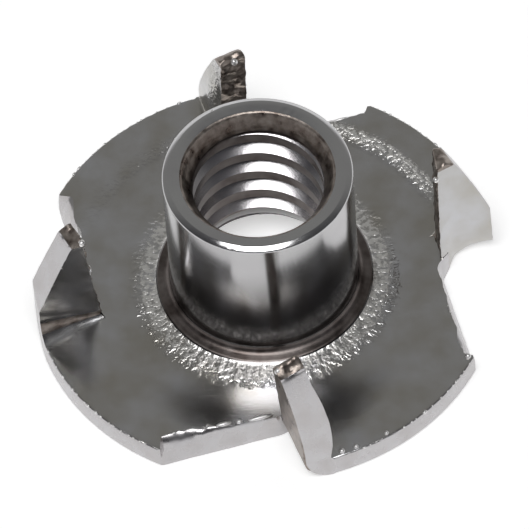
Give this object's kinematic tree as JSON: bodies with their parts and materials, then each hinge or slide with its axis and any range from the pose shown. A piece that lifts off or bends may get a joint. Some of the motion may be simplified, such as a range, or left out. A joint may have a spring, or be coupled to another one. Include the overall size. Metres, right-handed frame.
{
  "type": "tee nut",
  "caption": "Pressed-steel tee nut: an internally threaded barrel on a round flange, with hooked prongs bent up around it to bite into wood.",
  "frame": {"origin": "on the bore's axis, in the plane of the flange's underside", "axes": "+Z along the bore, from the flange towards the barrel's lip; +X at the first prong's slit"},
  "size_m": [0.0188, 0.0188, 0.0082],
  "materials": {
    "plated_steel": "bright zinc plate over pressed steel, satin on the flange and glossy on the barrel"
  },
  "bodies": {
    "root": {"tee_nut": "plated_steel"}
  },
  "joints": []
}
